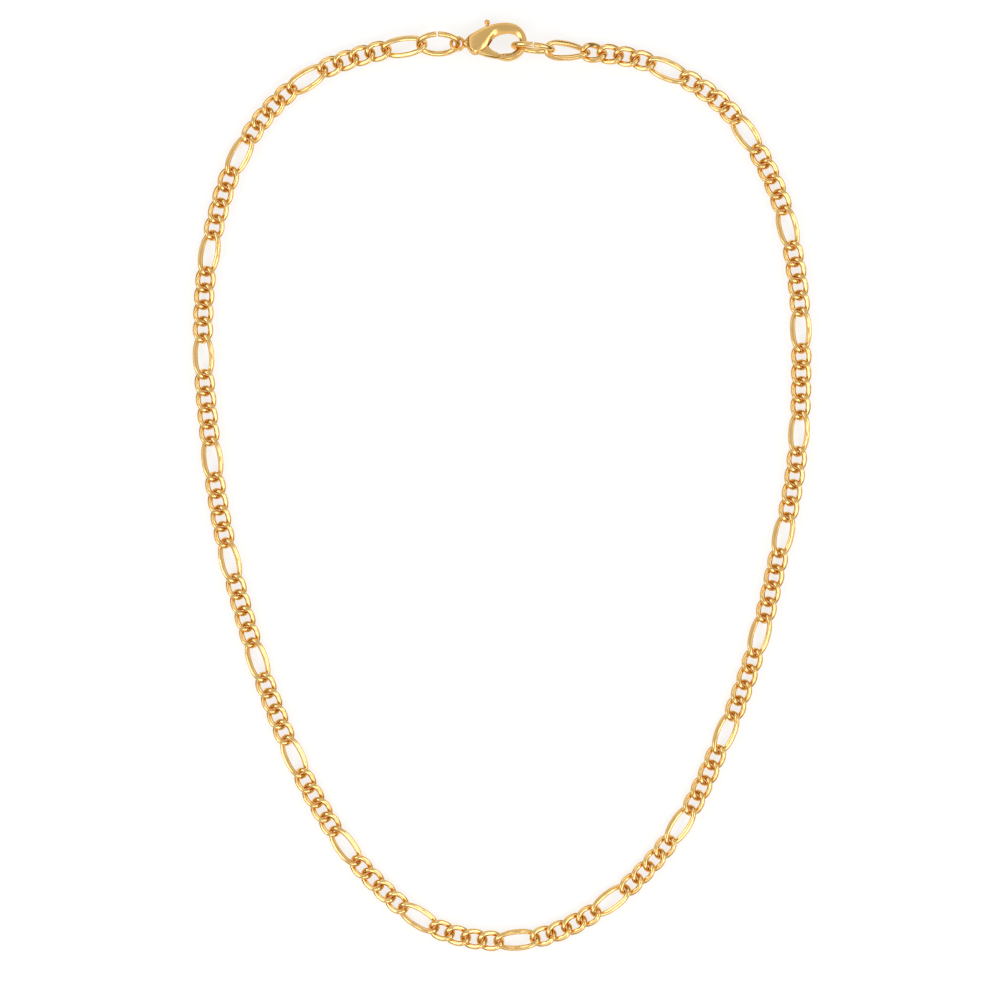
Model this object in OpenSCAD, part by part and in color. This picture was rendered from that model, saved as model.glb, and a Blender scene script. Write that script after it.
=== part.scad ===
// Figaro chain necklace with a lobster clasp, lying flat in a closed loop.
// Millimetres. The origin is the middle of the loop on the surface it lies on,
// +Y runs towards the clasp and +Z is up.

/* [Chain] */
// Diameter of the wire of the links
wire_d = 0.96; // [0.8:0.02:1.1]
// Running gap between two hooked wires
link_gap = 0.23; // [0.2:0.01:0.28]
// Distance from one hook-up to the next along a short link
short_pitch = 3.13; // [3:0.01:3.6]
// Distance from one hook-up to the next along a long link
long_pitch = 6.81; // [6:0.01:8.5]
// Clear width inside a short link
short_opening = 1.98; // [1.9:0.02:2.4]
// Clear width inside a long link
long_opening = 2.16; // [2:0.02:2.8]
// Angle that each end of a link is twisted out of its middle, in degrees
end_twist = 47; // [46:1:52]
// Short links between two long ones
short_run = 4; // [3:1:5]
// How often a long link and its short links repeat before the last long link
repeats = 22; // [18:1:24]

/* [Jump rings] */
// Outer length of a jump ring
ring_l = 8.4; // [8:0.1:9]
// Outer width of a jump ring
ring_w = 5.8; // [5.7:0.1:6]
// Diameter of the wire of the rings
ring_d = 1.06; // [0.96:0.02:1.08]
// Width of the slit where the ring was closed
ring_slit = 0.3; // [0.15:0.05:0.5]
// Tilt of the left ring out of the surface, in degrees
left_tilt = 43; // [40:1:44]
// Tilt of the right ring out of the surface, in degrees
right_tilt = 80.5; // [79.5:0.5:81]

/* [Clasp] */
// Outer radius of the hook
hook_r = 3.72; // [3.6:0.02:4]
// Width of the hook's rod
rod_w = 1.34; // [1.2:0.02:1.5]
// Width of the hook where it leaves the body
root_w = 1.85; // [1.7:0.05:2]
// Length of the body, from the middle of the hook to the neck
body_l = 7.85; // [7.6:0.05:8.4]
// Thickness of the body
body_t = 2.9; // [2.7:0.05:3.2]
// Radius of the eye, to the middle of its rim
eye_r = 1.18; // [1.16:0.01:1.22]
// Thickness of the eye's rim
eye_rim = 0.64; // [0.6:0.02:0.68]
// Thickness of the lever
lever_t = 1.36; // [1.2:0.02:1.4]
// Gap beside the lever in its slot
slot_gap = 0.07; // [0.05:0.01:0.1]
// Gap between the lever's tip and the hook's tip
seam_gap = 0.12; // [0.1:0.02:0.2]
// Radius of the lever's hub
hub_r = 1.15; // [1:0.05:1.25]
// Diameter of the rivet that the lever turns on
pin_d = 0.9; // [0.7:0.05:1]
// Diameter of the thumb nub's ball
nub_d = 1.06; // [0.9:0.02:1.2]
// Angle that the lever opens, in degrees
lever_open = 24; // [18:1:24]

/* [Hidden] */

// Points of the loop's middle line, clockwise from the right jump ring.
// Only its shape counts: it is scaled so that its length is that of the chain.
ROUTE = [
    [8.8, 81.64], [26.55, 79.67], [41.66, 71.16], [51.18, 56.08], [55.29, 38.97], [56.05, 21],
    [55.05, 3.5], [51.62, -14.03], [47.26, -31.58], [41.13, -48.06], [33.15, -64.1], [21.15, -77.2],
    [5.57, -84.89], [-12.01, -83.03], [-25.88, -71.89], [-35.92, -56.96], [-42.92, -40.97], [-48.4, -23.97],
    [-52.6, -6.52], [-54.94, 11], [-56.04, 29], [-54.36, 46.47], [-48.48, 63.49], [-37.04, 76.07],
    [-20.02, 82.11], [-2.5, 82.6]
];
// Steps of the curve between two points of the route
route_steps = 16;

// How square the links' ovals are: 2 is an ellipse
short_square = 2.4;
long_square = 2.8;
// How late the twist comes along a link: 1 is an even twist
twist_late = 1.2;
// Corners of a link's oval and of its wire
link_sides = 12;
wire_sides = 5;

short_half_w = (short_opening + wire_d) / 2;
long_half_w = (long_opening + wire_d) / 2;
hook_up = wire_d + link_gap;
links_in_repeat = short_run + 1;
link_count = repeats * links_in_repeat + 1;
chain_len = repeats * (long_pitch + short_run * short_pitch) + long_pitch;

// Half length and half width of a jump ring's middle line. Its end arcs and side arcs
// meet in the direction of a 3-4-5 triangle, which gives both radii.
ring_a = (ring_l - ring_d) / 2;
ring_b = (ring_w - ring_d) / 2;
ring_meet = atan2(4, 3);
ring_end_r = (3 * ring_b - ring_a) / 2;
ring_side_r = 2 * ring_a - ring_b;
// Direction of the slit in its side arc, and half the slit's angle, in degrees
slit_turn = 92;
slit_half = asin(ring_slit / 2 / ring_side_r);
// Steps along a ring's middle line and corners round its wire
ring_steps = 30;
ring_sides = 12;

// The clasp is drawn flat round the middle of its hook, eye to the left
rod_r = hook_r - rod_w / 2;
eye_at = [-1.18 * body_l, -0.14 * hook_r];
nub_at = [-0.49 * body_l, 1.02 * hook_r];
pivot = [-0.75 * body_l, -0.03 * hook_r];
slot_t = lever_t + 2 * slot_gap;
// Direction in which the right ring bears on the hook, and the hook's tip, in degrees
bearing_angle = -14;
tip_angle = -112;
// How far the tip bends out of the hook's round, as a ratio of radii
tip_out = 1.045;
tip_at = tip_out * rod_r * [cos(tip_angle), sin(tip_angle)];
tip_r = norm(tip_at - pivot);
tip_turn = atan2(tip_at.y - pivot.y, tip_at.x - pivot.x);
// Half the width of the hook's tip and of the gate's tip, seen from the pivot, in degrees
tip_half = 5.9;
gate_tip_half = 5.2;
// Thickness of the rod, of the hook's root and of its tip
rod_t = 0.58 * body_t;
root_t = 0.72 * body_t;
tip_t = 0.54 * body_t;
// How square the clasp's sections are: 2 is an ellipse
body_square = 2.6;
// Ball of the neck between eye and body
neck_at = [-0.962 * body_l, -0.12 * hook_r];
neck_r = 0.85;
// Direction of the nub's arm from the pivot
arm_angle = 51;
arm_r = 0.4;
arm_len = 3.2;
stem_r = 0.3;
// Room round the hub in its slot
hub_room = 0.15;
// Corners of the room in which the gate swings: distance from the pivot as a share
// of body_l, and direction in degrees
GATE_ROOM = [[0.535, -97], [0.56, -40], [0.625, -12], [0.46, lever_open - 19],
             [0.24, lever_open - 2]];
// The same for the arm, with directions measured from the arm's own
ARM_ROOM = [[0.255, -22], [0.76, -14], [0.83, 12], [0.76, lever_open + 17]];
pin_play = 0.02;
lever_play = 0.05;
// Depth of the rivet in the front wall of the body
pin_depth = 0.4;
// Depth of the rivet's end below the back of the body
pin_sunk = 0.06;
// Gap between a ring and its link, between the left ring and the near side of the eye,
// and between the right ring and the hook's rod
ring_play = 0.3;
eye_play = 0.4;
rod_play = 0.54;

// Where rings and clasp hook into each other, in the clasp's own drawing
ring_hook_up = (wire_d + ring_d) / 2 + ring_play;
eye_hook_up = (eye_rim + ring_d) / 2 + eye_play;
rod_hook_up = (rod_w + ring_d) / 2 + rod_play;
eye_joint = eye_at + [-eye_r + eye_hook_up / 2, 0];
hook_joint = rod_r * [cos(bearing_angle), sin(bearing_angle)] - [rod_hook_up / 2, 0];
clasp_pitch = norm(hook_joint - eye_joint);
left_pitch = 2 * ring_a - (ring_hook_up + eye_hook_up) / 2;
right_pitch = 2 * ring_a - (ring_hook_up + rod_hook_up) / 2;

// The route as a smooth closed curve, and as tables of place against length
function between(a, b, c, d, t) =
    (2 * b + (c - a) * t + (2 * a - 5 * b + 4 * c - d) * t * t
     + (3 * b - a - 3 * c + d) * t * t * t) / 2;
route_count = len(ROUTE);
function route_at(i) = ROUTE[(i + route_count) % route_count];
curve = [
    for (i = [0:route_count - 1], k = [0:route_steps - 1])
        between(route_at(i - 1), route_at(i), route_at(i + 1), route_at(i + 2), k / route_steps),
    ROUTE[0]
];
curve_len = [
    for (i = 0, s = 0; i < len(curve); i = i + 1,
         s = i < len(curve) ? s + norm(curve[i] - curve[i - 1]) : s) s
];
loop_len = chain_len + left_pitch + clasp_pitch + right_pitch;
route_scale = loop_len / curve_len[len(curve) - 1];
table_x = [for (i = [0:len(curve) - 1]) route_scale * [curve_len[i], curve[i].x]];
table_y = [for (i = [0:len(curve) - 1]) route_scale * [curve_len[i], curve[i].y]];
function at_length(s, z) = [lookup(s, table_x), lookup(s, table_y), z];

// One point of a link's middle line: an oval whose plane turns along its length
function oval_point(half_l, half_w, square, turn) =
    let (c = cos(turn), s = sin(turn),
         x = half_l * sign(c) * pow(abs(c), 2 / square),
         w = half_w * sign(s) * pow(abs(s), 2 / square),
         tilt = -end_twist * sign(x) * pow(abs(x) / half_l, twist_late))
    [x, w * cos(tilt), w * sin(tilt)];
function link_line(half_l, half_w, square) =
    [for (k = [0:link_sides - 1]) oval_point(half_l, half_w, square, 360 * k / link_sides)];
// The wire's corners round each point of that line, the first one on the outside
function link_points(line) = [
    for (k = [0:link_sides - 1])
        let (p = line[k],
             ahead = line[(k + 1) % link_sides] - line[(k + link_sides - 1) % link_sides],
             along = ahead / norm(ahead),
             out = p - (p * along) * along,
             side = out / norm(out),
             up = cross(along, side))
        for (j = [0:wire_sides - 1])
            p + wire_d / 2 * (cos(360 * j / wire_sides) * side
                              + sin(360 * j / wire_sides) * up)
];
function link_faces(first) = [
    for (k = [0:link_sides - 1], j = [0:wire_sides - 1])
        let (a = first + k * wire_sides, b = first + (k + 1) % link_sides * wire_sides,
             n = (j + 1) % wire_sides)
        each [[a + j, b + j, b + n], [a + j, b + n, a + n]]
];
short_points = link_points(link_line((short_pitch + hook_up) / 2, short_half_w, short_square));
long_points = link_points(link_line((long_pitch + hook_up) / 2, long_half_w, long_square));

// Height of the chain's middle line, so that its lowest wire touches the surface
function drop(half_l, half_w, square) =
    wire_d / 2 - min([for (turn = [0:3:87]) oval_point(half_l, half_w, square, turn).z]);
chain_h = drop((long_pitch + hook_up) / 2, long_half_w, long_square);

// Heights of the middle lines where the pieces meet: the left ring with the eye and
// the last link, the hook in the right ring, the right ring at the hook and at the
// first link, the first link in that ring and at the second link
left_ring_h = ring_b * sin(left_tilt) + ring_d / 2;
hook_h = 2.65;
hook_end_h = 3.05;
link_end_h = 2.67;
right_end_h = 2.65;
second_h = 1.68;
// Turn of the clasp about its length
clasp_roll = -13;
// Turn of the first link about its length, where the steep right ring holds it,
// and the share of it that each link passes on to the next
first_roll = -28;
roll_share = 0.5;

// Stations of the links' hook-ups along the route
function is_long(i) = i % links_in_repeat == 0;
function station(i) =
    floor(i / links_in_repeat) * (long_pitch + short_run * short_pitch)
    + (is_long(i) ? 0 : long_pitch + (i % links_in_repeat - 1) * short_pitch);
function joint_point(i) =
    at_length(station(i), i == 0 ? right_end_h : i == 1 ? second_h
                          : i == link_count ? left_ring_h : chain_h);

// Axes of a piece that runs from p to q, turned by roll about that line
function axes(p, q, roll = 0) =
    let (x = (q - p) / norm(q - p), flat = cross([0, 0, 1], x), y = flat / norm(flat),
         z = cross(x, y))
    [x, cos(roll) * y + sin(roll) * z, cos(roll) * z - sin(roll) * y];

module links(from, to) {
    points = [
        for (i = [from:to])
            let (p = joint_point(i), q = joint_point(i + 1),
                 frame = axes(p, q, first_roll * pow(roll_share, i)))
            for (v = is_long(i) ? long_points : short_points)
                (p + q) / 2 + v.x * frame[0] + v.y * frame[1] + v.z * frame[2]
    ];
    faces = [
        for (i = [0:to - from]) each link_faces(i * link_sides * wire_sides)
    ];
    polyhedron(points, faces, convexity = 10);
}

// Puts a piece drawn along X between p and q, with its middle half way
module between_points(p, q, roll = 0) {
    frame = axes(p, q, roll);
    middle = (p + q) / 2;
    multmatrix([
        [frame[0].x, frame[1].x, frame[2].x, middle.x],
        [frame[0].y, frame[1].y, frame[2].y, middle.y],
        [frame[0].z, frame[1].z, frame[2].z, middle.z],
        [0, 0, 0, 1]
    ])
        children();
}

module chain_right() {
    color("#DFB26C")
        links(0, floor(link_count / 2));
}

module chain_left() {
    color("#D9AA62")
        links(floor(link_count / 2) + 1, link_count - 1);
}

// Faces of a closed skin over rows of the same number of points, with flat ends
function skin_faces(rows, sides) = [
    [for (k = [0:sides - 1]) k],
    [for (k = [sides - 1:-1:0]) (rows - 1) * sides + k],
    for (i = [0:rows - 2], k = [0:sides - 1])
        let (a = i * sides, b = a + sides, n = (k + 1) % sides)
        each [[a + k, b + k, b + n], [a + k, b + n, a + n]]
];

// Oval ring of end arcs and side arcs, slit in one long side: wire round the point of
// each arc that lies in the direction u from that arc's own centre
module jump_ring() {
    polyhedron(
        [
            for (i = [0:ring_steps])
                let (u = slit_turn + slit_half + (360 - 2 * slit_half) * i / ring_steps,
                     way = [cos(u), sin(u)],
                     middle = abs(way.x) > cos(ring_meet)
                              ? [sign(way.x) * (ring_a - ring_end_r), 0]
                              : [0, sign(way.y) * (ring_b - ring_side_r)],
                     radius = abs(way.x) > cos(ring_meet) ? ring_end_r : ring_side_r)
                for (v = [0:360 / ring_sides:359])
                    let (flat = middle + (radius + ring_d / 2 * cos(v)) * way)
                    [flat.x, flat.y, -ring_d / 2 * sin(v)]
        ],
        skin_faces(ring_steps + 1, ring_sides),
        convexity = 6
    );
}

left_joint = at_length(chain_len, left_ring_h);
eye_point = at_length(chain_len + left_pitch, left_ring_h);
hook_point = at_length(chain_len + left_pitch + clasp_pitch, hook_end_h);
right_joint = at_length(0, link_end_h);

module jump_ring_left() {
    color("#E3BA78")
        between_points(left_joint, eye_point, left_tilt)
            translate([(eye_hook_up - ring_hook_up) / 4, 0, 0])
                jump_ring();
}

module jump_ring_right() {
    color("#E3BA78")
        between_points(hook_point, right_joint, right_tilt)
            translate([(ring_hook_up - rod_hook_up) / 4, 0, 0])
                jump_ring();
}

// Lays the clasp from the left ring to the right one
module lay_clasp() {
    slant = atan2(hook_joint.y - eye_joint.y, hook_joint.x - eye_joint.x);
    middle = (eye_joint + hook_joint) / 2;
    between_points(eye_point, [hook_point.x, hook_point.y, hook_h],
                   clasp_roll)
        rotate([0, 0, -slant])
            translate([-middle.x, -middle.y, 0])
                children();
}

// Solid through ribs [back, front, thickness], each rounded off at its two edges
rib_sides = 16;
function rib_points(rib, square) = [
    for (k = [0:rib_sides - 1])
        let (u = cos(360 * k / rib_sides), v = sin(360 * k / rib_sides),
             flat = (rib[0] + rib[1]) / 2
                    + (rib[0] - rib[1]) / 2 * sign(u) * pow(abs(u), 2 / square))
        [flat.x, flat.y, rib[2] / 2 * sign(v) * pow(abs(v), 2 / square)]
];
module ribbed(ribs, square) {
    polyhedron(
        [for (rib = ribs) each rib_points(rib, square)],
        skin_faces(len(ribs), rib_sides),
        convexity = 6
    );
}

// Ribs across the body, from the neck to the hook's root:
// back x, back y, front x, front y, thickness, as shares of body_l, hook_r and body_t
BODY_RIBS = [
    [-1, 0.03, -0.965, -0.27, 0.33],
    [-0.98, 0.14, -0.93, -0.4, 0.52],
    [-0.91, 0.29, -0.87, -0.54, 0.8],
    [-0.8, 0.43, -0.77, -0.64, 0.95],
    [-0.67, 0.6, -0.63, -0.54, 1],
    [-0.555, 0.73, -0.52, -0.37, 1],
    [-0.435, 0.82, -0.447, -0.175, 0.97],
    [-0.325, 0.9, -0.375, 0.08, 0.92],
    [-0.22, 0.95, -0.302, 0.273, 0.86],
    [-0.115, 0.985, -0.167, 0.43, 0.78]
];
// Ribs across the lever's gate, from its hub to its tip:
// inner x, inner y, outer x, outer y, as shares of body_l and hook_r
GATE_RIBS = [
    [-0.65, 0.1, -0.78, -0.25],
    [-0.53, -0.094, -0.715, -0.585],
    [-0.446, -0.234, -0.592, -0.712],
    [-0.382, -0.39, -0.478, -0.793],
    [-0.318, -0.484, -0.376, -0.833],
    [-0.229, -0.565, -0.287, -0.874]
];

// Rib across the hook's rod in the given direction from the hook's middle
function hook_rib(turn) =
    let (way = [cos(turn), sin(turn)], rise = turn > 0 ? pow(sin(turn), 2) : 0)
    [hook_r * way, (hook_r - rod_w - (root_w - rod_w) * rise) * way,
     rod_t + (root_t - rod_t) * rise];
// Place at a distance and in a direction from the lever's pivot
function from_pivot(radius, turn) = pivot + radius * [cos(turn), sin(turn)];

module clasp_shell() {
    ribs = concat(
        [for (r = BODY_RIBS) [[r[0] * body_l, r[1] * hook_r], [r[2] * body_l, r[3] * hook_r],
                              r[4] * body_t]],
        [for (turn = [90:-15:-90]) hook_rib(turn)],
        [[from_pivot(tip_r, tip_turn - tip_half), from_pivot(tip_r, tip_turn + tip_half), tip_t]]
    );
    ribbed(ribs, body_square);
    translate([eye_at.x, eye_at.y, 0])
        rotate_extrude($fn = 64)
            translate([eye_r, 0])
                circle(d = eye_rim, $fn = 24);
    translate([neck_at.x, neck_at.y, 0])
        sphere(r = neck_r, $fn = 32);
}

// Room in which the lever swings inside the body
module lever_slot() {
    linear_extrude(slot_t, center = true) {
        translate(pivot)
            circle(r = hub_r + hub_room, $fn = 48);
        polygon([pivot, for (c = GATE_ROOM) from_pivot(c[0] * body_l, c[1])]);
    }
    linear_extrude(2 * (arm_r + slot_gap), center = true)
        polygon([pivot, for (c = ARM_ROOM) from_pivot(c[0] * body_l, arm_angle + c[1])]);
}

module clasp_body() {
    color("#D6A868")
        lay_clasp()
            difference() {
                clasp_shell();
                lever_slot();
                translate([pivot.x, pivot.y, -body_t])
                    cylinder(d = pin_d + 2 * pin_play,
                             h = body_t + slot_t / 2 + pin_depth + pin_play, $fn = 48);
            }
}

module clasp_lever() {
    ribs = concat(
        [for (r = GATE_RIBS) [[r[0] * body_l, r[1] * hook_r], [r[2] * body_l, r[3] * hook_r],
                              lever_t]],
        [[from_pivot(tip_r - seam_gap, tip_turn + gate_tip_half),
          from_pivot(tip_r - seam_gap, tip_turn - gate_tip_half), lever_t]]
    );
    arm_end = from_pivot(arm_len, arm_angle);
    color("#DDB070")
        lay_clasp()
            difference() {
                union() {
                    ribbed(ribs, body_square);
                    translate([pivot.x, pivot.y, 0])
                        cylinder(r = hub_r, h = lever_t, center = true, $fn = 48);
                    translate([pivot.x, pivot.y, 0])
                        rotate([0, 90, arm_angle])
                            cylinder(r = arm_r, h = arm_len, $fn = 32);
                    translate([arm_end.x, arm_end.y, 0])
                        sphere(r = arm_r, $fn = 32);
                    translate([nub_at.x, nub_at.y, 0])
                        rotate([90, 0, 0])
                            cylinder(r = stem_r, h = nub_at.y - arm_end.y, $fn = 32);
                    translate([nub_at.x, nub_at.y, 0])
                        sphere(d = nub_d, $fn = 32);
                }
                translate([pivot.x, pivot.y, 0])
                    cylinder(d = pin_d + 2 * lever_play, h = 2 * lever_t, center = true, $fn = 48);
            }
}

module clasp_rivet() {
    color("#C99A55")
        lay_clasp()
            translate([pivot.x, pivot.y, pin_sunk - body_t / 2])
                cylinder(d = pin_d, h = body_t / 2 - pin_sunk + slot_t / 2 + pin_depth, $fn = 48);
}

chain_right();
chain_left();
jump_ring_left();
jump_ring_right();
clasp_body();
clasp_lever();
clasp_rivet();
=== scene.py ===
"""Figaro chain necklace with a lobster clasp, laid flat in a loop on a pale floor.

Lengths are in metres. The chain, the rings and the clasp follow the same route and
the same sizes as the solids in the frame, and each piece stands for its solids.
"""

import math

import bpy
import numpy as np
from bpy.props import FloatProperty, FloatVectorProperty, IntProperty, PointerProperty
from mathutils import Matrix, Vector


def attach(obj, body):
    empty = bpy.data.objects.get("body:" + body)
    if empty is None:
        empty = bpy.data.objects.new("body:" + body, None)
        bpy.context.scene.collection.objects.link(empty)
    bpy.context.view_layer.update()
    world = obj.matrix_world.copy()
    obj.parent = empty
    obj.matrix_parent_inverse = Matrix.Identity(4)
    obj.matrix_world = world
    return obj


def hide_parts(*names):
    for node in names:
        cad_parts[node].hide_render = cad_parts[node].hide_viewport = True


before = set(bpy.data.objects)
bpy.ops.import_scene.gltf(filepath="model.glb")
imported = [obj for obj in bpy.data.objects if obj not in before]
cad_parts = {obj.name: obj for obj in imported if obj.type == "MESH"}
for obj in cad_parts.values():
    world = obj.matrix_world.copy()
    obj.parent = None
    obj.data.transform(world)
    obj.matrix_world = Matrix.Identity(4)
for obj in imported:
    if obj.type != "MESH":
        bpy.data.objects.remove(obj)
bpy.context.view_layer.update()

bl_info = {
    "name": "Figaro chain necklace",
    "version": (1, 0, 0),
    "blender": (4, 5, 0),
    "location": "3D View > Sidebar > Necklace",
    "description": "Builds a figaro chain necklace with jump rings and a lobster clasp",
    "category": "Add Mesh",
}

MM = 0.001

# Points of the loop's middle line in millimetres, clockwise from the right jump ring
ROUTE = [
    [8.8, 81.64], [26.55, 79.67], [41.66, 71.16], [51.18, 56.08], [55.29, 38.97],
    [56.05, 21], [55.05, 3.5], [51.62, -14.03], [47.26, -31.58], [41.13, -48.06],
    [33.15, -64.1], [21.15, -77.2], [5.57, -84.89], [-12.01, -83.03], [-25.88, -71.89],
    [-35.92, -56.96], [-42.92, -40.97], [-48.4, -23.97], [-52.6, -6.52], [-54.94, 11],
    [-56.04, 29], [-54.36, 46.47], [-48.48, 63.49], [-37.04, 76.07], [-20.02, 82.11],
    [-2.5, 82.6],
]

# Ribs across the clasp's body, from the neck to the hook's root: back x, back y,
# front x, front y and thickness, as shares of the body's length, the hook's radius
# and the body's thickness, then the shares of the rib that slopes down to the front
# edge and of the thickness that the wall at that edge keeps
BODY_RIBS = [
    [-1.0, 0.03, -0.965, -0.27, 0.33, 0.2, 0.7],
    [-0.98, 0.14, -0.93, -0.4, 0.52, 0.18, 0.7],
    [-0.91, 0.29, -0.87, -0.54, 0.8, 0.14, 0.75],
    [-0.8, 0.43, -0.77, -0.64, 0.95, 0.13, 0.79],
    [-0.67, 0.6, -0.63, -0.54, 1.0, 0.22, 0.77],
    [-0.555, 0.73, -0.52, -0.37, 1.0, 0.32, 0.71],
    [-0.435, 0.82, -0.447, -0.175, 0.97, 0.38, 0.7],
    [-0.325, 0.9, -0.375, 0.08, 0.92, 0.46, 0.69],
    [-0.22, 0.95, -0.302, 0.273, 0.86, 0.53, 0.67],
    [-0.115, 0.985, -0.167, 0.43, 0.78, 0.54, 0.7],
]
# Ribs across the lever's gate, from its hub to its tip: inner x, inner y, outer x and
# outer y, as shares of the body's length and the hook's radius
GATE_RIBS = [
    [-0.62, 0.06, -0.755, -0.33],
    [-0.53, -0.094, -0.715, -0.585],
    [-0.446, -0.234, -0.592, -0.712],
    [-0.382, -0.39, -0.478, -0.793],
    [-0.318, -0.484, -0.376, -0.833],
    [-0.229, -0.565, -0.287, -0.874],
]
# Corners of the rooms in which the gate and the nub's arm swing: distance from the
# pivot as a share of the body's length, and direction in degrees (the arm's is
# measured from the arm)
GATE_ROOM = [[0.166, -96], [0.206, -89.5], [0.261, -84], [0.288, -79.5], [0.535, -79],
             [0.56, -40], [0.625, -12], [0.46, 5], [0.24, 22], [0.2, 31]]
ARM_ROOM = [[0.255, -22], [0.76, -14], [0.83, 12], [0.76, 41], [0.21, 48]]

# Places on the clasp's drawing, counted from the hook's middle, as shares of the
# body's length and the hook's radius
EYE_AT = (-1.18, -0.14)
NECK_AT = (-0.962, -0.12)
PIVOT_AT = (-0.75, -0.03)
NUB_AT = (-0.49, 1.02)
# Directions in degrees: where the right ring hangs and where the hook ends, seen from
# the hook's middle, and where the nub's arm points, seen from the pivot
RING_BEARING = -14
TIP_BEARING = -112
ARM_TURN = 51
# Distance of the hook's tip as a share of the radius of the rod's middle, and half the
# angles in degrees over which the tip and the gate's end spread, seen from the pivot
TIP_REACH = 1.045
TIP_SPREAD = 5.9
GATE_SPREAD = 5.2
# Radii of the neck's ball and of the nub's arm, and the arm's length, in millimetres
NECK_R = 0.845
ARM_R = 0.4
ARM_LEN = 3.2

# Heights in millimetres at which the pieces hook into each other
HOOK_H = 2.65
HOOK_END_H = 3.05
LINK_END_H = 2.67
RIGHT_END_H = 2.65
SECOND_H = 1.68
# Turns in degrees of the clasp and the first link about their own length, and the
# share of its turn that each link hands on to the next
CLASP_ROLL = -13.0
FIRST_ROLL = -28.0
ROLL_SHARE = 0.5
# Running gaps in millimetres: ring to link, ring to eye, ring to hook
RING_PLAY = 0.3
EYE_PLAY = 0.4
ROD_PLAY = 0.54
# Gaps in millimetres round the lever: to the slot's walls, to the hook's tip, from the
# hub to the body and to the rivet, and from the rivet to its bore
SLOT_GAP = 0.07
TIP_GAP = 0.12
HUB_GAP = 0.15
PIN_GAP = 0.05
BORE_GAP = 0.02
# Half the height of the arm's room, its least radius about the pivot, and how far the
# rivet's bore goes on above the slot, in millimetres
ARM_ROOM_H = 0.47
ARM_ROOM_R = 0.5
BORE_DEPTH = 0.4
# Least heights in millimetres of the chain's and of a single link's underside
CHAIN_LIFT = 0.01
LINK_LIFT = 0.012

# How square a link's oval is (2 is an ellipse), and points along a long and a short one
LONG_SQUARE = 2.8
SHORT_SQUARE = 2.4
LONG_STEPS = 48
SHORT_STEPS = 32
LINK_SIDES = 12
# Wires are drawn a little thin, which keeps them inside the solids' outline
WIRE_SHARE = 0.98
NUB_SHARE = 0.99
# Points of an oval before they are spaced evenly
FINE_STEPS = 1441
# Most triangles in one piece, and fewest in the clasp's body
MAX_TRIANGLES = 200000
MIN_BODY_TRIANGLES = 2000

# Brightness of the light tent by the height of the direction, 0 level and 1 overhead
TENT = [[0.0, 0.07], [0.34, 0.1], [0.47, 0.42], [0.57, 0.9], [0.68, 0.5], [0.84, 0.4]]
# Middle of the picture and its width, and the height of the chain that it is meant
# for, in millimetres
FRAME_MIDDLE = (-0.375, -2.63)
FRAME_WIDTH = 187.2
CHAIN_MIDDLE_H = 1.2


def length(name, default, description):
    """A length in metres as a property with a unit."""
    return FloatProperty(name=name, description=description, default=default,
                         min=0.0, precision=5, unit="LENGTH")


def angle(name, degrees, description):
    """An angle as a property, its default given in degrees."""
    return FloatProperty(name=name, description=description,
                         default=math.radians(degrees), subtype="ANGLE")


def colour(name, hex_value, description):
    """A colour as a property, its default given as an sRGB hex value."""
    return FloatVectorProperty(name=name, description=description, size=3, min=0.0,
                               max=1.0, subtype="COLOR", default=linear(hex_value))


def linear(hex_value):
    """An sRGB hex value such as "#DDB070" as three linear numbers."""
    value = hex_value.lstrip("#")
    srgb = [int(value[i:i + 2], 16) / 255 for i in (0, 2, 4)]
    return tuple(c / 12.92 if c <= 0.04045 else ((c + 0.055) / 1.055) ** 2.4 for c in srgb)


class ChainSettings(bpy.types.PropertyGroup):
    """Sizes of the links."""

    wire_d: length("Wire", 0.96 * MM, "Diameter of the wire of the links")
    link_gap: length("Running gap", 0.23 * MM, "Gap between two hooked wires")
    short_pitch: length("Short pitch", 3.13 * MM, "Hook-up to hook-up along a short link")
    long_pitch: length("Long pitch", 6.81 * MM, "Hook-up to hook-up along a long link")
    short_opening: length("Short opening", 1.98 * MM, "Clear width inside a short link")
    long_opening: length("Long opening", 2.16 * MM, "Clear width inside a long link")
    end_twist: angle("End twist", 47, "Twist of a link's end out of its middle")
    upset: length("Upset", 0.035 * MM, "Extra half thickness inside a link's bent ends")
    flatness: FloatProperty(name="Flatness", default=1.6, min=0.0, max=4.0,
                            description="How flat the links' sides are pressed; 0 is round")
    short_run: IntProperty(name="Short links", default=4, min=1, max=9,
                           description="Short links between two long ones")
    repeats: IntProperty(name="Repeats", default=22, min=2, max=40,
                         description="Repeats of a long link and its short links")


class RingSettings(bpy.types.PropertyGroup):
    """Sizes of the jump rings."""

    ring_l: length("Length", 8.4 * MM, "Outer length of a jump ring")
    ring_w: length("Width", 5.8 * MM, "Outer width of a jump ring")
    ring_d: length("Wire", 1.06 * MM, "Diameter of the wire of the rings")
    left_slit: length("Left slit", 0.3 * MM, "Width of the slit in the left ring")
    right_slit: length("Right slit", 0.2 * MM, "Width of the slit in the right ring")
    left_tilt: angle("Left tilt", 43, "Tilt of the left ring out of the floor")
    right_tilt: angle("Right tilt", 80.5, "Tilt of the right ring out of the floor")


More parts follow.
